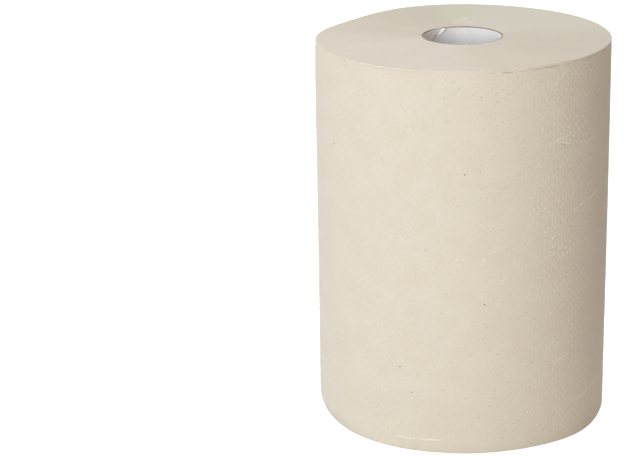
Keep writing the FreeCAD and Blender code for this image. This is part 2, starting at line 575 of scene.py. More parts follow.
def close_winding(mesh):
    """Trims the wrapped web at both rims and closes it into one body with its sawn ends and its hole."""
    for face in mesh.faces:
        face.material_index = 0
    for level, side in ((WALL_TOP, 1), (WALL_FOOT, -1)):
        everything = mesh.verts[:] + mesh.edges[:] + mesh.faces[:]
        bmesh.ops.bisect_plane(
            mesh, geom=everything, dist=1e-7, plane_co=(0, 0, level), plane_no=(0, 0, side), clear_outer=True
        )
    turn = mesh.verts.layers.float["turn"]
    wall = mesh.verts[:]
    edges = {level: cut_edge(wall, turn, level) for level in (WALL_TOP, WALL_FOOT)}
    starts = sorted((vert for vert in wall if vert[turn] < TURN_TOLERANCE), key=lambda vert: vert.co.z)
    ends = sorted((vert for vert in wall if vert[turn] > 1 - TURN_TOLERANCE), key=lambda vert: vert.co.z)
    zip_chains(mesh, [(vert.co.z, vert) for vert in starts], [(vert.co.z, vert) for vert in ends], 0)
    holes = []
    for level, rim, wall_level, outward in (
        (ROLL_HEIGHT, UPPER_RIM, WALL_TOP, 1),
        (0.0, LOWER_RIM, WALL_FOOT, -1),
    ):
        chain = [(vert[turn], vert) for vert in edges[wall_level]]
        for number, shape in enumerate(rim):
            ring = rim_ring(mesh, level, outward, *shape)
            zip_chains(mesh, chain, ring, int(number == len(rim) - 1))
            if number == 0:
                mesh.faces.new((chain[0][1], chain[-1][1], ring[0][1]))
            chain = ring
        outer, inner = sawn_end(mesh, level, outward)
        shift = round((1 - TAIL_ANGLE / 360) * (len(chain) - 1))
        from_x = chain[shift:-1] + chain[:shift]
        from_x = [(step / len(from_x), vert) for step, (_, vert) in enumerate(from_x)]
        zip_chains(mesh, from_x + [(1.0, from_x[0][1])], outer, 1)
        hole = ring_chain(mesh, SPIRAL_STEPS, 0, lambda turn: (TUBE_RADIUS + HOLE_CLEARANCE, level))
        zip_chains(mesh, inner, hole, 1)
        holes.append(hole)
    zip_chains(mesh, holes[0], holes[1], 1)
    bmesh.ops.recalc_face_normals(mesh, faces=mesh.faces)
    sharpen(mesh)


body = bmesh.new()
body.from_mesh(web_mesh)
close_winding(body)
loose = sum(len(edge.link_faces) != 2 for edge in body.edges)
volume = round(body.calc_volume() * 1e6)
print("winding:", len(body.faces), "faces, open edges:", loose, ", volume", volume, "cm3")

# %% [markdown]
# ## Wear and soft spots
#
# A real roll isn't a perfect drum. This one is a little out of round, its upper rim is pressed down at
# the back left, its lower rim is rounder at the front left, and it bulges slightly above the table at
# the right. All of that is one function that moves points, so the wall, the rims and the ends stay
# joined. A side is (angle, width) in degrees, and reaches are in millimetres. A wave is (waves round the
# roll, shift with height, start, size).

# %% Move the points
OUT_OF_ROUND = [(3, 0.0, 1.0, 0.16), (5, 1 / 45, 0.0, 0.12), (9, 0.0, 2.0, 0.07)]
SOFT_FROM = 8
TOP_REACHES = (8, 16, 24)
RIM_REACHES = (7, 26)
PRESSED_SIDE = (143, 27)
PRESSED_IN = 2.2
PRESSED_DOWN = 1.6
ROUNDED_SIDE = (190, 24)
ROUNDED_IN = 2.1
ROUNDED_HEIGHT = 7
BULGE_SIDE = (-42, 20)
BULGE_OUT = 1.5
BULGE_HEIGHT = 34
RIM_SAGS = [(289, 6, 0.45), (238, 9, 0.3), (267, 10, -0.2)]
END_RIPPLE = 0.12
TAIL_LIFT = 0.42
TAIL_LENGTH = 0.022


def ramp(value, low, high):
    """A soft step from 0 at low to 1 at high."""
    share = np.clip((value - low) / (high - low), 0, 1)
    return share * share * (3 - 2 * share)


def worn(points):
    """The points of the winding as they lie on the used roll, from those of the perfect one."""
    x, y, z = points.T
    wave = np.arctan2(y, x)
    angle = np.degrees(wave)
    radius = np.hypot(x, y)
    outer = ramp(radius, TUBE_RADIUS + SOFT_FROM * MM, ROLL_RADIUS)
    uneven = sum(
        size * np.sin(beats * wave + z / MM * rise + start) for beats, rise, start, size in OUT_OF_ROUND
    )
    pressed = bell(angle, *PRESSED_SIDE)
    close_top, near_top, wide_top = [
        ramp(z, ROLL_HEIGHT - reach * MM, ROLL_HEIGHT) for reach in TOP_REACHES
    ]
    close_rim, near_rim = [ramp(radius, ROLL_RADIUS - reach * MM, ROLL_RADIUS) for reach in RIM_REACHES]
    rounded = bell(angle, *ROUNDED_SIDE) * np.clip(1 - z / (ROUNDED_HEIGHT * MM), 0, 1) ** 2
    bulge = bell(angle, *BULGE_SIDE) * ramp(z, BULGE_HEIGHT * MM, 0)
    at_rims = bulge * BULGE_OUT - pressed * near_top * PRESSED_IN - rounded * ROUNDED_IN
    out = outer * uneven + near_rim * at_rims
    sag = sum(depth * bell(angle, centre, width) for centre, width, depth in RIM_SAGS)
    down = PRESSED_DOWN * pressed * near_rim**1.5 * wide_top + sag * close_rim * close_top
    ripple = outer * END_RIPPLE * np.sin(2 * wave + 0.6) * near_top
    share = 1 + out * MM / radius
    return np.column_stack((x * share, y * share, z - (down + ripple) * MM))


def lift_tail(points, turns):
    """The web's cut end stands off a little, more at some heights than at others."""
    x, y, z = points.T
    waves = 0.5 + 0.3 * np.sin(z / (17 * MM)) + 0.2 * np.sin(z / (6.1 * MM) + 1)
    share = 1 + TAIL_LIFT * MM * waves * ramp(turns, 1 - TAIL_LENGTH, 1.0) / np.hypot(x, y)
    return np.column_stack((x * share, y * share, z))


# %% Make the winding's object
def keep(name, mesh, replaced, materials):
    """Makes an object of a finished mesh, which rides on the roll's only body."""
    for material in materials:
        mesh.materials.append(material)
    piece = bpy.data.objects.new(name, mesh)
    bpy.context.collection.objects.link(piece)
    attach(piece, "root")
    if replaced:
        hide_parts(replaced)
    triangles = sum(len(polygon.vertices) - 2 for polygon in mesh.polygons)
    print(name + ":", triangles, "triangles")


turn_layer = body.verts.layers.float["turn"]
turns = np.array([vert[turn_layer] for vert in body.verts])
winding_mesh = bpy.data.meshes.new("towel_winding_paper")
body.to_mesh(winding_mesh)
body.free()
perfect = np.empty(len(winding_mesh.vertices) * 3, dtype=np.float32)
winding_mesh.vertices.foreach_get("co", perfect)
perfect = perfect.reshape(-1, 3)
shaped = worn(lift_tail(perfect, turns))
winding_mesh.vertices.foreach_set("co", shaped.astype(np.float32).ravel())
winding_mesh.update()
print("wear moves points by up to", round(np.linalg.norm(shaped - perfect, axis=1).max() / MM, 2), "mm")

# %% [markdown]
# ## A map of the paper
#
# Creases, specks and streaks belong to a place on the web, so the wall needs a flat map. The wall is
# unrolled: one unit across is once round the roll, and heights use the same scale, so nothing is
# stretched. The two sawn ends lie above the wall as discs, at that scale too. A face's corners are
# unrolled round its own middle, so that no face jumps from one side of the map to the other.

# %% Lay out the map
END_CENTRES = {True: (0.18, 0.62), False: (0.54, 0.62)}
HOLE_CORNER = (0.72, 0.45)
HOLE_MARGIN = 0.1 * MM


def lay_out(mesh):
    """Writes the map of the winding: the wall unrolled below, and both sawn ends as discs above."""
    uv = mesh.uv_layers.new(name="OFBake").data
    for polygon in mesh.polygons:
        middle = polygon.center
        angle = math.degrees(math.atan2(middle.y, middle.x))
        inside = middle.xy.length < TUBE_RADIUS + HOLE_MARGIN
        turn = (angle - TAIL_ANGLE) / 360 % 1
        for corner in polygon.loop_indices:
            place = mesh.vertices[mesh.loops[corner].vertex_index].co
            if polygon.material_index == 1 and not inside:
                centre = END_CENTRES[middle.z > ROLL_HEIGHT / 2]
                uv[corner].uv = (centre[0] + place.x / GIRTH, centre[1] + place.y / GIRTH)
                continue
            apart = (math.degrees(math.atan2(place.y, place.x)) - angle + 180) % 360 - 180
            if inside:
                along = (turn + apart / 360) * TUBE_RADIUS / ROLL_RADIUS
                uv[corner].uv = (HOLE_CORNER[0] + along, HOLE_CORNER[1] + place.z / GIRTH)
            else:
                uv[corner].uv = (turn + apart / 360, place.z / GIRTH)


lay_out(winding_mesh)
keep("towel_winding_paper", winding_mesh, "towel_winding", [wall_paper, end_paper])

# %% [markdown]
# ## The card tube
#
# The tube is wound from three strips on a slant. Two are brown card, and the innermost is a white
# liner, whose edges meet in an open joint that winds down the bore. The brown card is a plain ring with
# a ragged sawn edge. The liner is a sheet of its own: it starts just after the joint and stops just
# before it, one turn later, so the joint comes out as a real gap. At the upper end one side has come
# loose: it stands up as a small ridge, and its torn edge, painted white partly as a painted highlight,
# slopes back over the gap. Along its cut the liner stays a little short of the card, and more so on two
# torn stretches.

# %% The tube
PLY = 0.3 * MM
PLY_CLEARANCE = 0.02 * MM
CARD_STEPS = 180
CARD_CUT = 0.22 * MM
CARD_CUT_TWIST = 40
SAWN_WAVES = [(7, 0.0, 0.4), (17, 1.0, 0.32), (31, 2.0, 0.28)]
STRIP_WIDTH = 74 * MM
JOINT_GAP = 0.7 * MM
JOINT_TOP_ANGLE = 116.0
JOINT_SLANT = math.asin(STRIP_WIDTH / (2 * math.pi * BORE_RADIUS))
JOINT_PITCH = 2 * math.pi * BORE_RADIUS * math.tan(JOINT_SLANT)
RIDGE_SHARES = (0.976, 0.990)
LINER_SHARES = [*np.linspace(0, 0.972, 64), *np.linspace(RIDGE_SHARES[0], 1, 13)]
LINER_HEIGHTS = [*np.linspace(0, 0.965, 50), *np.linspace(0.97, 1, 16)]
LINER_CUT = 0.14 * MM
LINER_SHORT = 0.15
LINER_TEARS = [(40, 45, 0.75), (170, 22, 0.5)]
LAP_REACH = 0.5 * MM
LAP_LIFT = 0.85 * MM
LAP_DEPTH = 3.4 * MM
LAP_FREE = 2 * MM


def sawn_wobble(angle, size):
    """The uneven cut of the card at this angle, as a height."""
    wave = math.radians(angle)
    return size * sum(share * math.sin(beats * wave + start) for beats, start, share in SAWN_WAVES)


def card_ring(mesh):
    """The brown card as a closed ring between the liner and the winding."""
    loops = []
    for radius, level, side in (
        (BORE_RADIUS + PLY, 0, 1),
        (TUBE_RADIUS, 0, 1),
        (TUBE_RADIUS, ROLL_HEIGHT, -1),
        (TUBE_RADIUS - PLY, ROLL_HEIGHT, -1),
        (BORE_RADIUS + PLY, ROLL_HEIGHT, -1),
    ):
        loop = []
        for step in range(CARD_STEPS):
            angle = 360 * step / CARD_STEPS
            cut = side * abs(sawn_wobble(angle + CARD_CUT_TWIST * radius / MM, CARD_CUT))
            loop.append(mesh.verts.new(turned(radius, angle, level + cut)))
        loops.append(loop)
    for near, far in zip(loops, loops[1:] + loops[:1]):
        for step in range(CARD_STEPS):
            after = (step + 1) % CARD_STEPS
            face = mesh.faces.new((near[step], near[after], far[after], far[step]))
            face.smooth = True


def liner_place(share, level):
    """Where a point of the liner lies, at this share of its turn and of the roll's height."""
    height = ROLL_HEIGHT * level
    joint = JOINT_TOP_ANGLE + 360 * (ROLL_HEIGHT - height) / JOINT_PITCH
    gap = math.degrees(JOINT_GAP / math.cos(JOINT_SLANT) / BORE_RADIUS)
    angle = joint + gap / 2 + (360 - gap) * share
    loose = float(ramp(height, ROLL_HEIGHT - LAP_DEPTH, ROLL_HEIGHT - LAP_FREE))
    angle += math.degrees(LAP_REACH * loose * float(ramp(share, RIDGE_SHARES[0], 1)) / BORE_RADIUS)
    lift = LAP_LIFT * loose * float(np.interp(share, [*RIDGE_SHARES, 1.0], [0.0, 1.0, 0.0]))
    if level in (0, 1):
        short = LINER_SHORT + sum(depth * bell(angle, centre, width) for centre, width, depth in LINER_TEARS)
        short = short * MM + abs(sawn_wobble(angle, LINER_CUT))
        height += math.copysign(short, ROLL_HEIGHT / 2 - height)
    return turned(BORE_RADIUS - lift, angle, height)


def liner_sheet():
    """The white liner as a thick sheet, wound between the two sides of its own joint."""
    mesh = bmesh.new()
    grid = [[mesh.verts.new(liner_place(share, level)) for share in LINER_SHARES] for level in LINER_HEIGHTS]
    for low, high in zip(grid, grid[1:]):
        for step, share in enumerate(LINER_SHARES[1:]):
            face = mesh.faces.new((low[step], low[step + 1], high[step + 1], high[step]))
            face.smooth = True
            torn = share > RIDGE_SHARES[1] and low[step].co.z > ROLL_HEIGHT - LAP_DEPTH
            # Torn faces take the whiter finish, partly a painted highlight.
            face.material_index = 2 if torn else 1
    outer = bmesh.ops.duplicate(mesh, geom=mesh.verts[:] + mesh.edges[:] + mesh.faces[:])
    twins = outer["vert_map"]
    for row in grid:
        for vert in row:
            share = 1 + (PLY - PLY_CLEARANCE) / vert.co.xy.length
            twins[vert].co = Vector((vert.co.x * share, vert.co.y * share, vert.co.z))
    border = grid[0] + [row[-1] for row in grid[1:]] + grid[-1][-2::-1] + [row[0] for row in grid[-2:0:-1]]
    for near, after in zip(border, border[1:] + border[:1]):
        face = mesh.faces.new((near, after, twins[after], twins[near]))
        face.smooth = False
        face.material_index = 1
    bmesh.ops.recalc_face_normals(mesh, faces=mesh.faces)
    sharpen(mesh)
    made = bpy.data.meshes.new("liner")
    mesh.to_mesh(made)
    mesh.free()
    return made


card = bmesh.new()
card_ring(card)
bmesh.ops.recalc_face_normals(card, faces=card.faces)
sharpen(card)
card.from_mesh(liner_sheet())
tube_mesh = bpy.data.meshes.new("core_tube_card")
card.to_mesh(tube_mesh)
card.free()
brown_card = bpy.data.materials.new("brown_card")
white_liner = bpy.data.materials.new("white_liner")
# The torn edge's whiter finish, partly for torn fibres and partly a painted highlight.
torn_liner_highlight = bpy.data.materials.new("torn_liner_highlight")
keep("core_tube_card", tube_mesh, "core_tube", [brown_card, white_liner, torn_liner_highlight])

# %% [markdown]
# ## Lint on the edges
#
# A saw leaves paper edges hairy. Each hair is a short bent tube with three sides. Geometry Nodes stand
# one on every point that they are given, with its own length, lean and twist, and turn the lot into
# one mesh. The points are drawn at random on the front half of the upper rim, with more of them where
# the lip is ragged, and a few round the tube.

# %% The tree that scatters hairs
HAIR_LENGTH = 0.8 * MM
HAIR_SHARES = (0.3, 1.1)
HAIR_THICKNESS = 0.024
HAIR_BEND = 70.0
HAIR_LEAN = 0.9
HAIR_TWIST = 6.28
LINT_ON_RIM = 360
LINT_AT_TUBE = 90
LINT_LEVEL = ROLL_HEIGHT - 0.1 * MM
LINT_ANYWHERE = 0.35
LINT_LIP = 0.5 * MM


def lint_tree():
    """Geometry Nodes that stand short bent hairs on the points that they are given."""
    tree, given, output = open_group(
        "edge_lint",
        "GeometryNodeTree",
        [
            ("Places", "Geometry", None),
            ("Hair Length", "Float", HAIR_LENGTH),
            ("Hair Thickness", "Float", HAIR_THICKNESS),
            ("Hair Bend", "Float", math.radians(HAIR_BEND)),
            ("Seed", "Int", 3),
            ("Paper", "Material", None),
        ],
        [("Lint", "Geometry", None)],
    )
    bend = {"Resolution": 4, "Radius": 1.0, "Start Angle": 0.0, "Sweep Angle": given["Hair Bend"]}
    arc = add(tree, "GeometryNodeCurveArc", bend).outputs[0]
    moved = add(tree, "GeometryNodeTransform", {"Geometry": arc, "Translation": (-1.0, 0.0, 0.0)}).outputs[0]
    round_hair = {"Resolution": 3, "Radius": given["Hair Thickness"]}
    profile = add(tree, "GeometryNodeCurvePrimitiveCircle", round_hair).outputs[0]
    tube = {"Curve": moved, "Profile Curve": profile, "Fill Caps": True}
    hair = add(tree, "GeometryNodeCurveToMesh", tube).outputs[0]
    seeds = [calc(tree, "ADD", given["Seed"], number) for number in range(2)]
    most = (HAIR_LEAN, HAIR_LEAN, HAIR_TWIST)
    leans = {"Min": (-HAIR_LEAN, -HAIR_LEAN, 0.0), "Max": most, "Seed": seeds[0]}
    lean = add(tree, "FunctionNodeRandomValue", leans, data_type="FLOAT_VECTOR").outputs[0]
    shares = {"Min": HAIR_SHARES[0], "Max": HAIR_SHARES[1], "Seed": seeds[1]}
    share = add(tree, "FunctionNodeRandomValue", shares, data_type="FLOAT").outputs[1]
    length = calc(tree, "MULTIPLY", share, given["Hair Length"])
    size = joined(tree, length, length, length)
    hairs = {"Points": given["Places"], "Instance": hair, "Rotation": lean, "Scale": size}
    lint = add(tree, "GeometryNodeInstanceOnPoints", hairs).outputs[0]
    lint = add(tree, "GeometryNodeRealizeInstances", {0: lint}).outputs[0]
    lint = add(tree, "GeometryNodeSetMaterial", {"Geometry": lint, "Material": given["Paper"]}).outputs[0]
    tree.links.new(lint, output.inputs["Lint"])
    return tree


def lint_places():
    """Points on the edges where hairs stand, drawn at random with more of them at the ragged stretches."""
    draw = random.Random(12)
    places = []
    while len(places) < LINT_ON_RIM:
        angle = draw.uniform(180, 360)
        turn = (angle - TAIL_ANGLE) / 360 % 1
        if draw.random() < LINT_ANYWHERE + lip(turn) / LINT_LIP:
            places.append(turned(turn_radius(turn) - draw.uniform(0.1, 0.9) * MM, angle, LINT_LEVEL))
    for _ in range(LINT_AT_TUBE):
        angle = draw.uniform(0, 360)
        places.append(turned(TUBE_RADIUS + draw.uniform(-0.5, 0.1) * MM, angle, LINT_LEVEL))
    return worn(np.array(places))


lint_paper = bpy.data.materials.new("lint")
lint_seat = bpy.data.meshes.new("lint_places")
lint_seat.from_pydata(lint_places().tolist(), [], [])
lint_mesh = plain_mesh("edge_lint", lint_seat, lint_tree(), Paper=lint_paper)
keep("edge_lint", lint_mesh, None, [lint_paper])

# %% [markdown]
# ## Paper fibres, shared by all the papers
#
# Towel, card and liner are all felted fibres, seen at different strengths. One shader group makes them:
# a coarse cloud, where the pulp is thicker, and a fine grain, which can be stretched along one
# direction. It puts out both, and each material decides how much of each it takes, for its colour and
# for its bump.

# %% The fibre group
def fibre_group():
    """Shader group with the felted look of paper. Places are in millimetres."""
    group, given, output = open_group(
        "paper_fibres",
        "ShaderNodeTree",
        [
            ("Place", "Vector", None),
            ("Grain Size", "Float", 0.35),
            ("Stretch", "Vector", (1.0, 1.0, 1.0)),
            ("Cloud Size", "Float", 9.0),
        ],
        [("Grain", "Float", None), ("Cloud", "Float", None)],
    )
    stretched = vector(group, "MULTIPLY", given["Place"], given["Stretch"])
    grain_scale = calc(group, "DIVIDE", 1, given["Grain Size"])
    cloud_scale = calc(group, "DIVIDE", 1, given["Cloud Size"])
    grain = noise(group, stretched, grain_scale, detail=3.0, roughness=0.6)
    cloud = noise(group, given["Place"], cloud_scale, detail=4.0, roughness=0.55)
    group.links.new(grain, output.inputs["Grain"])
    group.links.new(cloud, output.inputs["Cloud"])
    return group


paper_fibres = fibre_group()
print("sockets of paper_fibres:", [item.name for item in paper_fibres.interface.items_tree])

# %% [markdown]
# ## Marks at chosen places
#
# The towel has specks of bark, pale flecks and fine creases, and they sit where they sit on the real
# roll. Two small groups draw them on the flat map. A spot is one inside a radius. A crease is one near
# the line between two places, and is weaker towards its ends. Both fade softly, and both can feed
# a colour as well as a bump.

# %% Spot and crease groups
SPOT_CORE = 0.45
CREASE_TAPER = 1.15


def spot_group():
    """Shader group: a soft round mask about a place, in millimetres."""
    group, given, output = open_group(
        "spot",
        "ShaderNodeTree",
        [("Place", "Vector", None), ("Centre", "Vector", None), ("Radius", "Float", 0.5)],
        [("Mask", "Float", None)],
    )
    apart = vector(group, "DISTANCE", given["Place"], given["Centre"])
    share = calc(group, "DIVIDE", apart, given["Radius"])
    group.links.new(ranged(group, share, 1.0, SPOT_CORE, 0.0, 1.0), output.inputs["Mask"])
    return group


def crease_group():
    """Shader group: a soft mask along the straight line between two places, in millimetres."""
    group, given, output = open_group(
        "crease",
        "ShaderNodeTree",
        [
            ("Place", "Vector", None),
            ("From", "Vector", None),
            ("To", "Vector", None),
            ("Width", "Float", 0.5),
        ],
        [("Mask", "Float", None)],
    )
    along = vector(group, "SUBTRACT", given["To"], given["From"])
    reach = vector(group, "SUBTRACT", given["Place"], given["From"])
    covered = vector(group, "DOT_PRODUCT", reach, along)
    share = calc(group, "DIVIDE", covered, vector(group, "DOT_PRODUCT", along, along), clamp=True)
    apart = vector(group, "DISTANCE", reach, vector(group, "SCALE", along, Scale=share))
    ends = calc(group, "MULTIPLY", calc(group, "SUBTRACT", share, 0.5), 2)
    taper = calc(group, "SUBTRACT", CREASE_TAPER, calc(group, "MULTIPLY", ends, ends))
    near = ranged(group, apart, given["Width"], 0.0, 0.0, 1.0)
    group.links.new(calc(group, "MULTIPLY", near, taper, clamp=True), output.inputs["Mask"])
    return group


spot = spot_group()
crease = crease_group()
print("shader groups:", [group.name for group in (paper_fibres, spot, crease)])

# %% [markdown]
# ## Helpers for the paper materials
#
# Every material here starts from the same three things: a Principled shader with a dull paper finish,
# a place in millimetres, and a colour that is built up in layers.

# %% Material helpers
PAPER_SHINE = 0.25
SHEEN_ROUGHNESS = 0.6


def open_material(material, roughness, sheen):
    """Empties a material's tree and gives back the tree and its Principled shader."""
    material.use_nodes = True
    tree = material.node_tree
    tree.nodes.clear()
    shader = add(tree, "ShaderNodeBsdfPrincipled")
    shader.inputs["Roughness"].default_value = roughness
    shader.inputs["Specular IOR Level"].default_value = PAPER_SHINE
    shader.inputs["Sheen Weight"].default_value = sheen
    shader.inputs["Sheen Roughness"].default_value = SHEEN_ROUGHNESS
    add(tree, "ShaderNodeOutputMaterial", {"Surface": shader.outputs[0]})
    return tree, shader


def object_place(tree):
    """The place in the object's own space, in millimetres."""
    return vector(tree, "SCALE", add(tree, "ShaderNodeTexCoord").outputs["Object"], Scale=1 / MM)


def map_place(tree):
    """The place on the unrolled map, in millimetres."""
    return vector(tree, "SCALE", add(tree, "ShaderNodeUVMap", uv_map="OFBake").outputs[0], Scale=GIRTH / MM)


def placed(tree, group, **inputs):
    """What one use of a shader group puts out in a material."""
    named = {label.replace("_", " "): value for label, value in inputs.items()}
    return add(tree, "ShaderNodeGroup", named, node_tree=group).outputs


def felt(tree, place, grain_size, stretch, cloud_size):
    """The grain and the cloud of felted fibres at a place."""
    sizes = {"Grain_Size": grain_size, "Stretch": stretch, "Cloud_Size": cloud_size}
    fibres = placed(tree, paper_fibres, Place=place, **sizes)
    return fibres["Grain"], fibres["Cloud"]


def spotted(tree, place, centre, radius):
    """One soft round spot."""
    return placed(tree, spot, Place=place, Centre=(*centre, 0.0), Radius=radius)["Mask"]


def creased(tree, place, start, end, width):
    """One soft straight line."""
    return placed(tree, crease, Place=place, From=(*start, 0.0), To=(*end, 0.0), Width=width)["Mask"]


def mixed(tree, share, first, second, blend="MIX"):
    """Two colours mixed by a share."""
    inputs = {0: share, 6: first, 7: second}
    return add(tree, "ShaderNodeMix", inputs, data_type="RGBA", blend_type=blend).outputs[2]


def weighed(tree, *pairs):
    """The sum of some values, each times its weight."""
    total = 0.0
    for value, weight in pairs:
        total = calc(tree, "MULTIPLY_ADD", value, weight, total)
    return total


def finish(tree, shader, colour, height, depth):
    """Gives the shader its colour, and a bump from a height that is measured in depths."""
    tree.links.new(colour, shader.inputs["Base Color"])
    bump = add(tree, "ShaderNodeBump", {"Height": height, "Distance": depth, "Strength": 1.0})
    tree.links.new(bump.outputs[0], shader.inputs["Normal"])


# %% [markdown]
# ## The look of the towel's face
#
# Unbleached towel is a warm, matt, pale brown. Close up it has fine upright crepe ridges, which the
# doctor blade left across the web, soft clouds of thicker pulp, and specks. The specks that show are
# placed as (angle, height, radius), and a sparse Voronoi pattern adds the small ones in
# between. Creases are (angle, height, angle, height, width, strength). They raise the surface a little
# and are painted lighter, as a painted highlight on their ridges, and folds are painted darker beside
# them, as painted shade. Along the rim, a pale line is a painted highlight on the lip and a dark line
# is a painted shadow under the rim. Those along the rim are broken up by noise, the others are whole.
# The tops of the embossed dots are painted paler, as a painted highlight.

# %% The look of the towel's face
TOWEL_COLOUR = (0.775, 0.715, 0.605, 1)
TOWEL_SHADE = (0.74, 0.665, 0.55, 1)
# Bark specks, dust and a scratch, and also the painted shade in folds and under the rim.
BARK_AND_SHADE_COLOUR = (0.20, 0.13, 0.08, 1)
# Pale flecks of the paper, and also the painted highlight on the dot tops.
PALE_FLECK_AND_HIGHLIGHT_COLOUR = (0.91, 0.86, 0.77, 1)
# Painted highlight on the crease ridges.
CREASE_HIGHLIGHT_COLOUR = (1.0, 0.95, 0.87, 1)
MOTTLE = (0.35, 0.65)
SHADE_SHARE = 0.65
DUST_SCALE = 0.16
DUST_EDGE = (0.035, 0.02)
DUST_SHARE = 0.4
DUST_LEFT_OUT = 0.8
DARK_SHARE = 0.7
PALE_FLECK_AND_HIGHLIGHT_SHARE = 0.55
BREAK_SCALE = 0.22
BREAKS = (0.4, 0.55)
TOWEL_BUMP = 0.12 * MM
DARK_SPECKS = [
    (-85.1, 77.2, 0.55), (-117.6, 43.1, 0.5), (-112.7, 30.6, 0.45), (-151.9, 146.8, 0.5), (-92.8, 141.5, 0.5),
    (-31.4, 169.9, 0.55), (-37.3, 49.8, 0.5), (-29.8, 37.1, 0.5), (-143.6, 104.1, 0.45), (-107.3, 103.7, 0.4),
]
PALE_FLECKS = [(-85.6, 99.3, 0.9), (-56.3, 53.0, 0.8)]
# Creases raise the surface, and they are painted lighter as a painted highlight.
CREASES = [
    (-56.3, 153.4, -51.3, 155.2, 0.7, 0.65),
    (-55.6, 152.9, -48.0, 150.8, 0.6, 0.5),
    (-51.3, 155.2, -50.0, 153.8, 0.5, 0.6),
    (-41.3, 149.4, -33.5, 149.8, 0.5, 0.6),
    (-47.7, 116.8, -43.6, 118.1, 0.45, 0.5),
    (-43.6, 118.1, -36.8, 119.7, 0.6, 0.8),
    (-36.8, 119.7, -28.5, 122.0, 0.6, 0.9),
    (-56.0, 41.6, -47.0, 44.6, 0.5, 0.65),
    (-42.6, 18.9, -32.8, 20.3, 0.5, 0.7),
    (-32.8, 20.3, -20.0, 22.5, 0.5, 0.75),
    (-83.0, 102.6, -78.4, 104.6, 0.45, 0.6),
    (-120.5, 6.6, -110.0, 6.6, 0.5, 0.55),
    (-110.0, 6.6, -100.8, 7.2, 0.65, 0.75),
]
# Painted highlight: a pale broken line on the ragged lip, with a little bump.
RIM_RIDGE_HIGHLIGHTS = [
    (-145.0, 190.5, -128.0, 190.6, 0.45, 0.6),
    (-128.0, 190.2, -112.0, 190.5, 0.5, 0.7),
    (-76.5, 190.4, -69.0, 190.4, 0.6, 0.9),
]
# Painted shade: dark lines beside the creases.
FOLD_SHADES = [
    (-147.3, 157.1, -146.0, 153.5, 0.45, 0.16),
    (-55.0, 152.0, -49.5, 149.8, 0.8, 0.16),
    (-54.0, 149.2, -48.0, 148.4, 0.9, 0.1),
]
# Painted shadow: a dark broken line just under the rim.
RIM_SHADOWS = [
    (-144.5, 190.2, -143.6, 189.0, 0.4, 0.3),
    (-136.0, 189.6, -113.0, 189.6, 0.4, 0.16),
    (-84.0, 189.6, -69.0, 189.5, 0.45, 0.4),
    (-69.0, 189.8, -45.0, 189.6, 0.5, 0.4),
    (-47.0, 190.0, -20.0, 190.0, 0.45, 0.2),
]


def drawn_lines(tree, place, lines):
    """One mask for several drawn lines, each from one angle and height to another, such as creases with their
    painted highlight and painted shade.
    """
    total = 0.0
    for from_angle, from_height, to_angle, to_height, width, strength in lines:
        mask = creased(tree, place, unrolled(from_angle, from_height), unrolled(to_angle, to_height), width)
        total = calc(tree, "MAXIMUM", total, calc(tree, "MULTIPLY", mask, strength))
    return total


def paint_towel(material):
    """Nodes for the towel's face, on the unrolled map."""
    tree, shader = open_material(material, roughness=0.92, sheen=0.08)
    place = map_place(tree)
    grain, cloud = felt(tree, place, grain_size=0.6, stretch=(1.0, 0.45, 1.0), cloud_size=14.0)
    shade = weighed(tree, (cloud, 0.55), (grain, 0.45))
    colour = mixed(tree, ranged(tree, shade, *MOTTLE, 0.0, SHADE_SHARE), TOWEL_COLOUR, TOWEL_SHADE)
    dust = add(tree, "ShaderNodeTexVoronoi", {"Vector": place, "Scale": DUST_SCALE, "Randomness": 1.0})
    picked = calc(tree, "GREATER_THAN", parted(tree, dust.outputs["Color"])[0], DUST_LEFT_OUT)
    dots = ranged(tree, dust.outputs["Distance"], *DUST_EDGE, 0.0, DUST_SHARE)
    colour = mixed(tree, calc(tree, "MULTIPLY", dots, picked), colour, BARK_AND_SHADE_COLOUR)
    for specks, share, speck_colour in (
        (DARK_SPECKS, DARK_SHARE, BARK_AND_SHADE_COLOUR),
        (PALE_FLECKS, PALE_FLECK_AND_HIGHLIGHT_SHARE, PALE_FLECK_AND_HIGHLIGHT_COLOUR),
    ):
        for angle, height, radius in specks:
            mask = spotted(tree, place, unrolled(angle, height), radius)
            colour = mixed(tree, calc(tree, "MULTIPLY", mask, share), colour, speck_colour)
    broken = ranged(tree, noise(tree, place, BREAK_SCALE), *BREAKS, 0.0, 1.0)
    ridges_and_highlights, fold_shade = [
        calc(tree, "MAXIMUM", whole, calc(tree, "MULTIPLY", along_rim, broken))
        for whole, along_rim in (
            (drawn_lines(tree, place, CREASES), drawn_lines(tree, place, RIM_RIDGE_HIGHLIGHTS)),
            (drawn_lines(tree, place, FOLD_SHADES), drawn_lines(tree, place, RIM_SHADOWS)),
        )
    ]
    # Painted highlight: the tops of the embossed dots are painted paler.
    dot_highlight = add(tree, "ShaderNodeAttribute", attribute_name="dot_highlight").outputs["Fac"]
    colour = mixed(tree, calc(tree, "MULTIPLY", dot_highlight, PALE_FLECK_AND_HIGHLIGHT_SHARE), colour, PALE_FLECK_AND_HIGHLIGHT_COLOUR)
    # Painted highlight along the creases.
    colour = mixed(tree, ridges_and_highlights, colour, CREASE_HIGHLIGHT_COLOUR)
    # Painted shade beside the creases and painted shadow under the rim.
    colour = mixed(tree, fold_shade, colour, BARK_AND_SHADE_COLOUR)
    finish(tree, shader, colour, weighed(tree, (grain, 0.5), (ridges_and_highlights, 1.6)), TOWEL_BUMP)
    print(material.name, "has", len(tree.nodes), "nodes")


paint_towel(wall_paper)

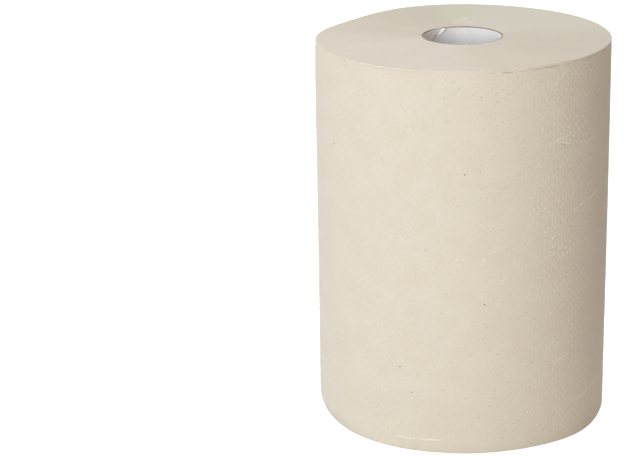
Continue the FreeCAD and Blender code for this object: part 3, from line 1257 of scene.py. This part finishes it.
# %% [markdown]
# ## The look of the sawn ends
#
# A sawn end shows the web edge on. It is slightly greyer than the face, and the turns show as faint
# rings that come and go. The saw combs the cut fibres one way, so on the upper end two opposite
# quarters are painted paler than the other two, partly as the fibres' own tone and partly as a painted
# sheen, and soft noise blurs that. Both ends are also painted darker towards the back right, as painted
# shade. A smear, a scratch, a greenish patch and a few pale flakes of torn paper are placed on the upper
# end, each as (from, to, width) in millimetres, and so is a fleck of bark, as (centre, radius). Noise
# tears their edges, apart from the fleck's.

# %% The look of the sawn ends
END_COLOUR = (0.675, 0.606, 0.497, 1)
END_SHADE = (0.655, 0.59, 0.475, 1)
# Painted shade on the back right of the ends.
END_FAR_SHADE_COLOUR = (0.585, 0.535, 0.43, 1)
PATCH_COLOUR = (0.57, 0.56, 0.40, 1)
SMEAR_COLOUR = (0.64, 0.60, 0.56, 1)
FLAKE_COLOUR = (0.78, 0.72, 0.58, 1)
# Partly the combed fibres' own tone and partly a painted sheen: two opposite quarters paler, two darker.
COMBED_SHEEN_TONES = ((0.955, 0.94, 0.935, 1), (1.04, 1.05, 1.07, 1))
END_MOTTLE = (0.38, 0.62)
UPPER_END = (ROLL_HEIGHT / MM - 5, ROLL_HEIGHT / MM - 4)
RING_SCALE = 0.9
RING_REACH = 2.2
SECTOR_SCALE = 2.4
SECTOR_DRIFT = 0.012
SHADED_FAR_SIDE = (0.6, 0.8, 0.0)
FAR_SHADE_SPAN = (-25.0, 60.0)
FAR_SHADE_BLUR = 40.0
SMEAR = ((-11.5, -28.0), (-12.5, -42.0), 8.0)
SMEAR_SHARE = 0.4
SCRATCH = ((-20.3, -44.7), (-8.6, -45.5), 1.0)
SCRATCH_SHARE = 0.14
PATCHINESS = (0.35, 0.6, 0.3, 1.0)
PATCH = ((0.0, 34.0), (0.0, 66.0), 13.0)
PATCH_SHARE = 0.9
FLAKES = ((0.0, 24.0), (6.0, 42.0), 9.0)
FLAKE_SCALE = 0.4
FLAKE_EDGE = (0.5, 0.54)
FLAKE_SHARE = 0.7
TEAR_SCALE = 0.3
TEAR_REACH = 4.5
BARK_FLECK = ((-20.6, 3.2), 0.8)
BARK_SHARE = 0.6
END_BUMP = 0.15 * MM


def end_shade(tree, flat_place, grain, cloud):
    """Tone, ring relief and sector noise of the sawn turns."""
    parts = parted(tree, flat_place)
    radius = vector(tree, "LENGTH", flat_place)
    angle = calc(tree, "ARCTAN2", parts[1], parts[0])
    turns = calc(tree, "ADD", radius, calc(tree, "MULTIPLY", angle, -LINE_PITCH / MM / (2 * math.pi)))
    cosine, sine = [calc(tree, operation, angle) for operation in ("COSINE", "SINE")]
    along = [calc(tree, "MULTIPLY", part, RING_REACH) for part in (cosine, sine)]
    rings = noise(tree, joined(tree, *along, turns), RING_SCALE, detail=3.0, roughness=0.7)
    drift = calc(tree, "MULTIPLY", radius, SECTOR_DRIFT)
    sectors = noise(tree, joined(tree, cosine, sine, drift), SECTOR_SCALE)
    shade = weighed(tree, (rings, 0.25), (sectors, 0.35), (cloud, 0.25), (grain, 0.15))
    # Which quarters take the painted sheen of the combed fibres.
    combed_sheen = ranged(tree, calc(tree, "SINE", calc(tree, "MULTIPLY", angle, 2)), -1.0, 1.0, 0.0, 1.0)
    return shade, rings, sectors, combed_sheen


def paint_end(material):
    """Nodes for the sawn turns, on the object's own coordinates."""
    tree, shader = open_material(material, roughness=0.95, sheen=0.1)
    place = object_place(tree)
    parts = parted(tree, place)
    flat_place = joined(tree, parts[0], parts[1], 0)
    grain, cloud = felt(tree, place, grain_size=0.5, stretch=(1.0, 1.0, 0.3), cloud_size=6.0)
    shade, rings, sectors, combed_sheen = end_shade(tree, flat_place, grain, cloud)
    colour = mixed(tree, ranged(tree, shade, *END_MOTTLE, 0.0, 1.0), END_COLOUR, END_SHADE)
    # Painted shade: the ends are painted darker towards the back right, blurred by the sector noise.
    far = calc(tree, "MULTIPLY_ADD", sectors, FAR_SHADE_BLUR, vector(tree, "DOT_PRODUCT", place, SHADED_FAR_SIDE))
    colour = mixed(tree, ranged(tree, far, *FAR_SHADE_SPAN, 0.0, 1.0), colour, END_FAR_SHADE_COLOUR)
    upper = ranged(tree, parts[2], *UPPER_END, 0.0, 1.0)
    # The upper end's quarters, painted paler and darker, partly as a painted sheen.
    sheen_quarters = mixed(tree, 1.0, colour, mixed(tree, combed_sheen, *COMBED_SHEEN_TONES), "MULTIPLY")
    colour = mixed(tree, upper, colour, sheen_quarters)
    tears = noise(tree, place, TEAR_SCALE, detail=3.0, output="Color")
    both_ways = (2 * TEAR_REACH, 2 * TEAR_REACH, 0)
    torn = vector(tree, "MULTIPLY_ADD", tears, both_ways, (-TEAR_REACH, -TEAR_REACH, 0))
    ragged_place = vector(tree, "ADD", flat_place, torn)
    patchy = ranged(tree, cloud, *PATCHINESS)
    flaked = ranged(tree, noise(tree, place, FLAKE_SCALE, detail=4.0), *FLAKE_EDGE, 0.0, FLAKE_SHARE)
    for mark, share, mark_colour in (
        (SMEAR, calc(tree, "MULTIPLY", patchy, SMEAR_SHARE), SMEAR_COLOUR),
        (SCRATCH, calc(tree, "MULTIPLY", patchy, SCRATCH_SHARE), BARK_AND_SHADE_COLOUR),
        (PATCH, PATCH_SHARE, PATCH_COLOUR),
        (FLAKES, flaked, FLAKE_COLOUR),
    ):
        mask = calc(tree, "MULTIPLY", creased(tree, ragged_place, *mark), upper)
        colour = mixed(tree, calc(tree, "MULTIPLY", mask, share), colour, mark_colour)
    bark = calc(tree, "MULTIPLY", spotted(tree, flat_place, *BARK_FLECK), BARK_SHARE)
    colour = mixed(tree, bark, colour, BARK_AND_SHADE_COLOUR)
    finish(tree, shader, colour, weighed(tree, (rings, 0.5), (grain, 0.4)), END_BUMP)
    print(material.name, "has", len(tree.nodes), "nodes")


paint_end(end_paper)

# %% [markdown]
# ## The look of card, liner and lint
#
# The brown card shows as a thin rough line round the bore, darker than the towel, and its near-black
# dark colour is partly a painted shadow in the narrow gaps at its cut edge. The liner is a smooth
# white-grey paper with a cool cast, and its torn edge is painted whiter, partly for its torn fibres and
# partly as a painted highlight. Lint is loose towel fibre, and takes the towel's colour. A finish is
# (material, light and dark colour, roughness, grain size, stretch, bump), with the grain in millimetres.

# %% The look of card, liner and lint
FINISHES = [
    # The card's near-black dark colour is partly a painted shadow in the gaps at its cut edge.
    (brown_card, (0.42, 0.31, 0.18, 1), (0.06, 0.045, 0.035, 1), 0.9, 0.9, (1, 1, 0.5), 0.12 * MM),
    (white_liner, (0.81, 0.805, 0.81, 1), (0.75, 0.745, 0.75, 1), 0.75, 0.5, (1, 1, 0.4), 0.04 * MM),
    # Torn liner: whiter, partly for its torn fibres and partly as a painted highlight.
    (torn_liner_highlight, (0.97, 0.965, 0.96, 1), (0.90, 0.89, 0.88, 1), 0.9, 0.4, (1, 1, 1), 0.1 * MM),
    (lint_paper, TOWEL_COLOUR, (0.88, 0.82, 0.73, 1), 0.95, 0.6, (1, 1, 1), 0.01 * MM),
]


def paint_felt(material, light, dark, roughness, grain_size, stretch, depth):
    """Nodes for a plain felted material between two colours, on the object's own coordinates."""
    tree, shader = open_material(material, roughness, sheen=0.04)
    grain, cloud = felt(tree, object_place(tree), grain_size, stretch, cloud_size=7.0)
    shade = weighed(tree, (grain, 0.5), (cloud, 0.5))
    colour = mixed(tree, ranged(tree, shade, *MOTTLE, 0.0, 1.0), light, dark)
    finish(tree, shader, colour, grain, depth)
    print(material.name, "has", len(tree.nodes), "nodes")


for settings in FINISHES:
    paint_felt(*settings)

# %% [markdown]
# ## The table and the light
#
# The photograph has a pure white ground, a bright side at the left front and a warm shaded side at the
# right. A big low lamp at the front left does most of that, a wide dim one stands behind, and a faint
# warm one at the right. They hang in the world itself, each as a soft round patch of light, because
# nothing here has to show the lamps. A light is (azimuth from the front and height in degrees, edge,
# core, colour), where edge and core are cosines of the angle from its middle.
#
# The table is grey, so that it throws little light up at the dots. A white card lies close by at the
# right and lights the foot of the shaded side. It is drawn as a soft warm glow on the table. To the
# camera alone the table glows white beside the roll, though not under it.

# %% Table
TABLE_REACH = 6.0
TABLE_COLOUR = (0.42, 0.42, 0.42, 1)
TABLE_GLOW = 0.93
GLOW_EDGE = (ROLL_RADIUS / MM - 14, ROLL_RADIUS / MM - 4)
CARD_GLOW = (1.0, 0.92, 0.78, 1)
CARD_SIDE = (40.0, 100.0)
CARD_REACH = (210.0, 90.0)
CARD_STRENGTH = 0.3
WHITE = (1, 1, 1, 1)
table_mesh = bpy.data.meshes.new("table")
table_corners = [(x * TABLE_REACH, y * TABLE_REACH, 0) for x, y in ((-1, -1), (1, -1), (1, 1), (-1, 1))]
table_mesh.from_pydata(table_corners, [], [(0, 1, 2, 3)])
table = bpy.data.objects.new("table", table_mesh)
bpy.context.collection.objects.link(table)
table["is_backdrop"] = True


def paint_table(material):
    """A grey table, which glows white to the camera outside the roll, with a white card at its right."""
    tree, shader = open_material(material, roughness=0.9, sheen=0.0)
    shader.inputs["Base Color"].default_value = TABLE_COLOUR
    shader.inputs["Specular IOR Level"].default_value = 0.0
    flat = parted(tree, object_place(tree))
    reach = vector(tree, "LENGTH", joined(tree, flat[0], flat[1], 0))
    seen = add(tree, "ShaderNodeLightPath").outputs["Is Camera Ray"]
    outside = calc(tree, "MULTIPLY", ranged(tree, reach, *GLOW_EDGE, 0.0, TABLE_GLOW), seen)
    at_right = ranged(tree, flat[0], *CARD_SIDE, 0.0, CARD_STRENGTH)
    card = calc(tree, "MULTIPLY", at_right, ranged(tree, reach, *CARD_REACH, 0.0, 1.0))
    tree.links.new(calc(tree, "MAXIMUM", outside, card), shader.inputs["Emission Strength"])
    tree.links.new(mixed(tree, seen, CARD_GLOW, WHITE), shader.inputs["Emission Color"])


white_table = bpy.data.materials.new("white_table")
table_mesh.materials.append(white_table)
paint_table(white_table)
print("table:", 2 * TABLE_REACH, "m wide")

# %% World
SOFT_LIGHTS = {
    "front": (-22.9, 12.6, 0.9, 1.0, (9.47, 9.37, 9.29, 1)),
    "back": (-171.4, 20.0, 0.0, 0.9, (1.90, 2.00, 2.09, 1)),
    "right": (86.6, 0.0, 0.0, 1.0, (0.26, 0.11, 0.0, 1)),
}


def world_light():
    """Three soft lights round their directions, and plain white where the camera looks past the table."""
    world = bpy.data.worlds.new("studio")
    bpy.context.scene.world = world
    world.use_nodes = True
    tree = world.node_tree
    tree.nodes.clear()
    ray = add(tree, "ShaderNodeTexCoord").outputs["Generated"]
    sky = (0.0, 0.0, 0.0, 1)
    for side, (azimuth, height, edge, core, colour) in SOFT_LIGHTS.items():
        across, up = math.radians(azimuth), math.radians(height)
        middle = Vector((math.sin(across) * math.cos(up), -math.cos(across) * math.cos(up), math.sin(up)))
        facing = vector(tree, "DOT_PRODUCT", ray, middle)
        sky = mixed(tree, ranged(tree, facing, edge, core, 0.0, 1.0), sky, colour, "ADD")
        print("light at", side, "towards", [round(part, 2) for part in middle])
    lit = add(tree, "ShaderNodeBackground", {"Color": sky, "Strength": 1.0}).outputs[0]
    plain = add(tree, "ShaderNodeBackground", {"Color": WHITE, "Strength": 1.0}).outputs[0]
    seen = add(tree, "ShaderNodeLightPath").outputs["Is Camera Ray"]
    mix = add(tree, "ShaderNodeMixShader", {0: seen, 1: lit, 2: plain}).outputs[0]
    add(tree, "ShaderNodeOutputWorld", {"Surface": mix})


world_light()
bpy.context.scene.view_settings.view_transform = "Standard"

# %% [markdown]
# ## The camera
#
# The photograph was taken with a long lens from a little above. Where the camera stands follows from
# the roll's outline: how tall it is for its width gives the tilt, and how open its upper end is gives
# the distance. The aim is a point beside the roll, because the roll stands right of the middle.

# %% Camera
CAMERA_PLACE = Vector((-71.16, -1035.943, 430.988)) * MM
CAMERA_PITCH = 18.29
CAMERA_ROLL = -0.9255
LENS = 121.805
SENSOR = 36.0


def camera():
    """The camera at the photograph's place, looking the photograph's way."""
    data = bpy.data.cameras.new("camera")
    data.lens = LENS
    data.sensor_width = SENSOR
    data.clip_start = 0.05
    data.clip_end = 50.0
    made = bpy.data.objects.new("camera", data)
    bpy.context.collection.objects.link(made)
    pitch = Matrix.Rotation(math.radians(90 - CAMERA_PITCH), 4, "X")
    roll = Matrix.Rotation(math.radians(CAMERA_ROLL), 4, "Z")
    made.matrix_world = Matrix.Translation(CAMERA_PLACE) @ pitch @ roll
    bpy.context.scene.camera = made
    return made


shot = camera()
for side, column in (("right", 0), ("up", 1)):
    print("camera", side, [round(part, 5) for part in shot.matrix_world.col[column][:3]])

# %% Print the sizes and finish
visual_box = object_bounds()
boxes = {
    "cad": [list(corner) for corner in cad_box],
    "visual": [list(corner) for corner in visual_box],
}
for name, box in boxes.items():
    print(name, "box in mm:", [[round(part / MM, 2) for part in corner] for corner in box])
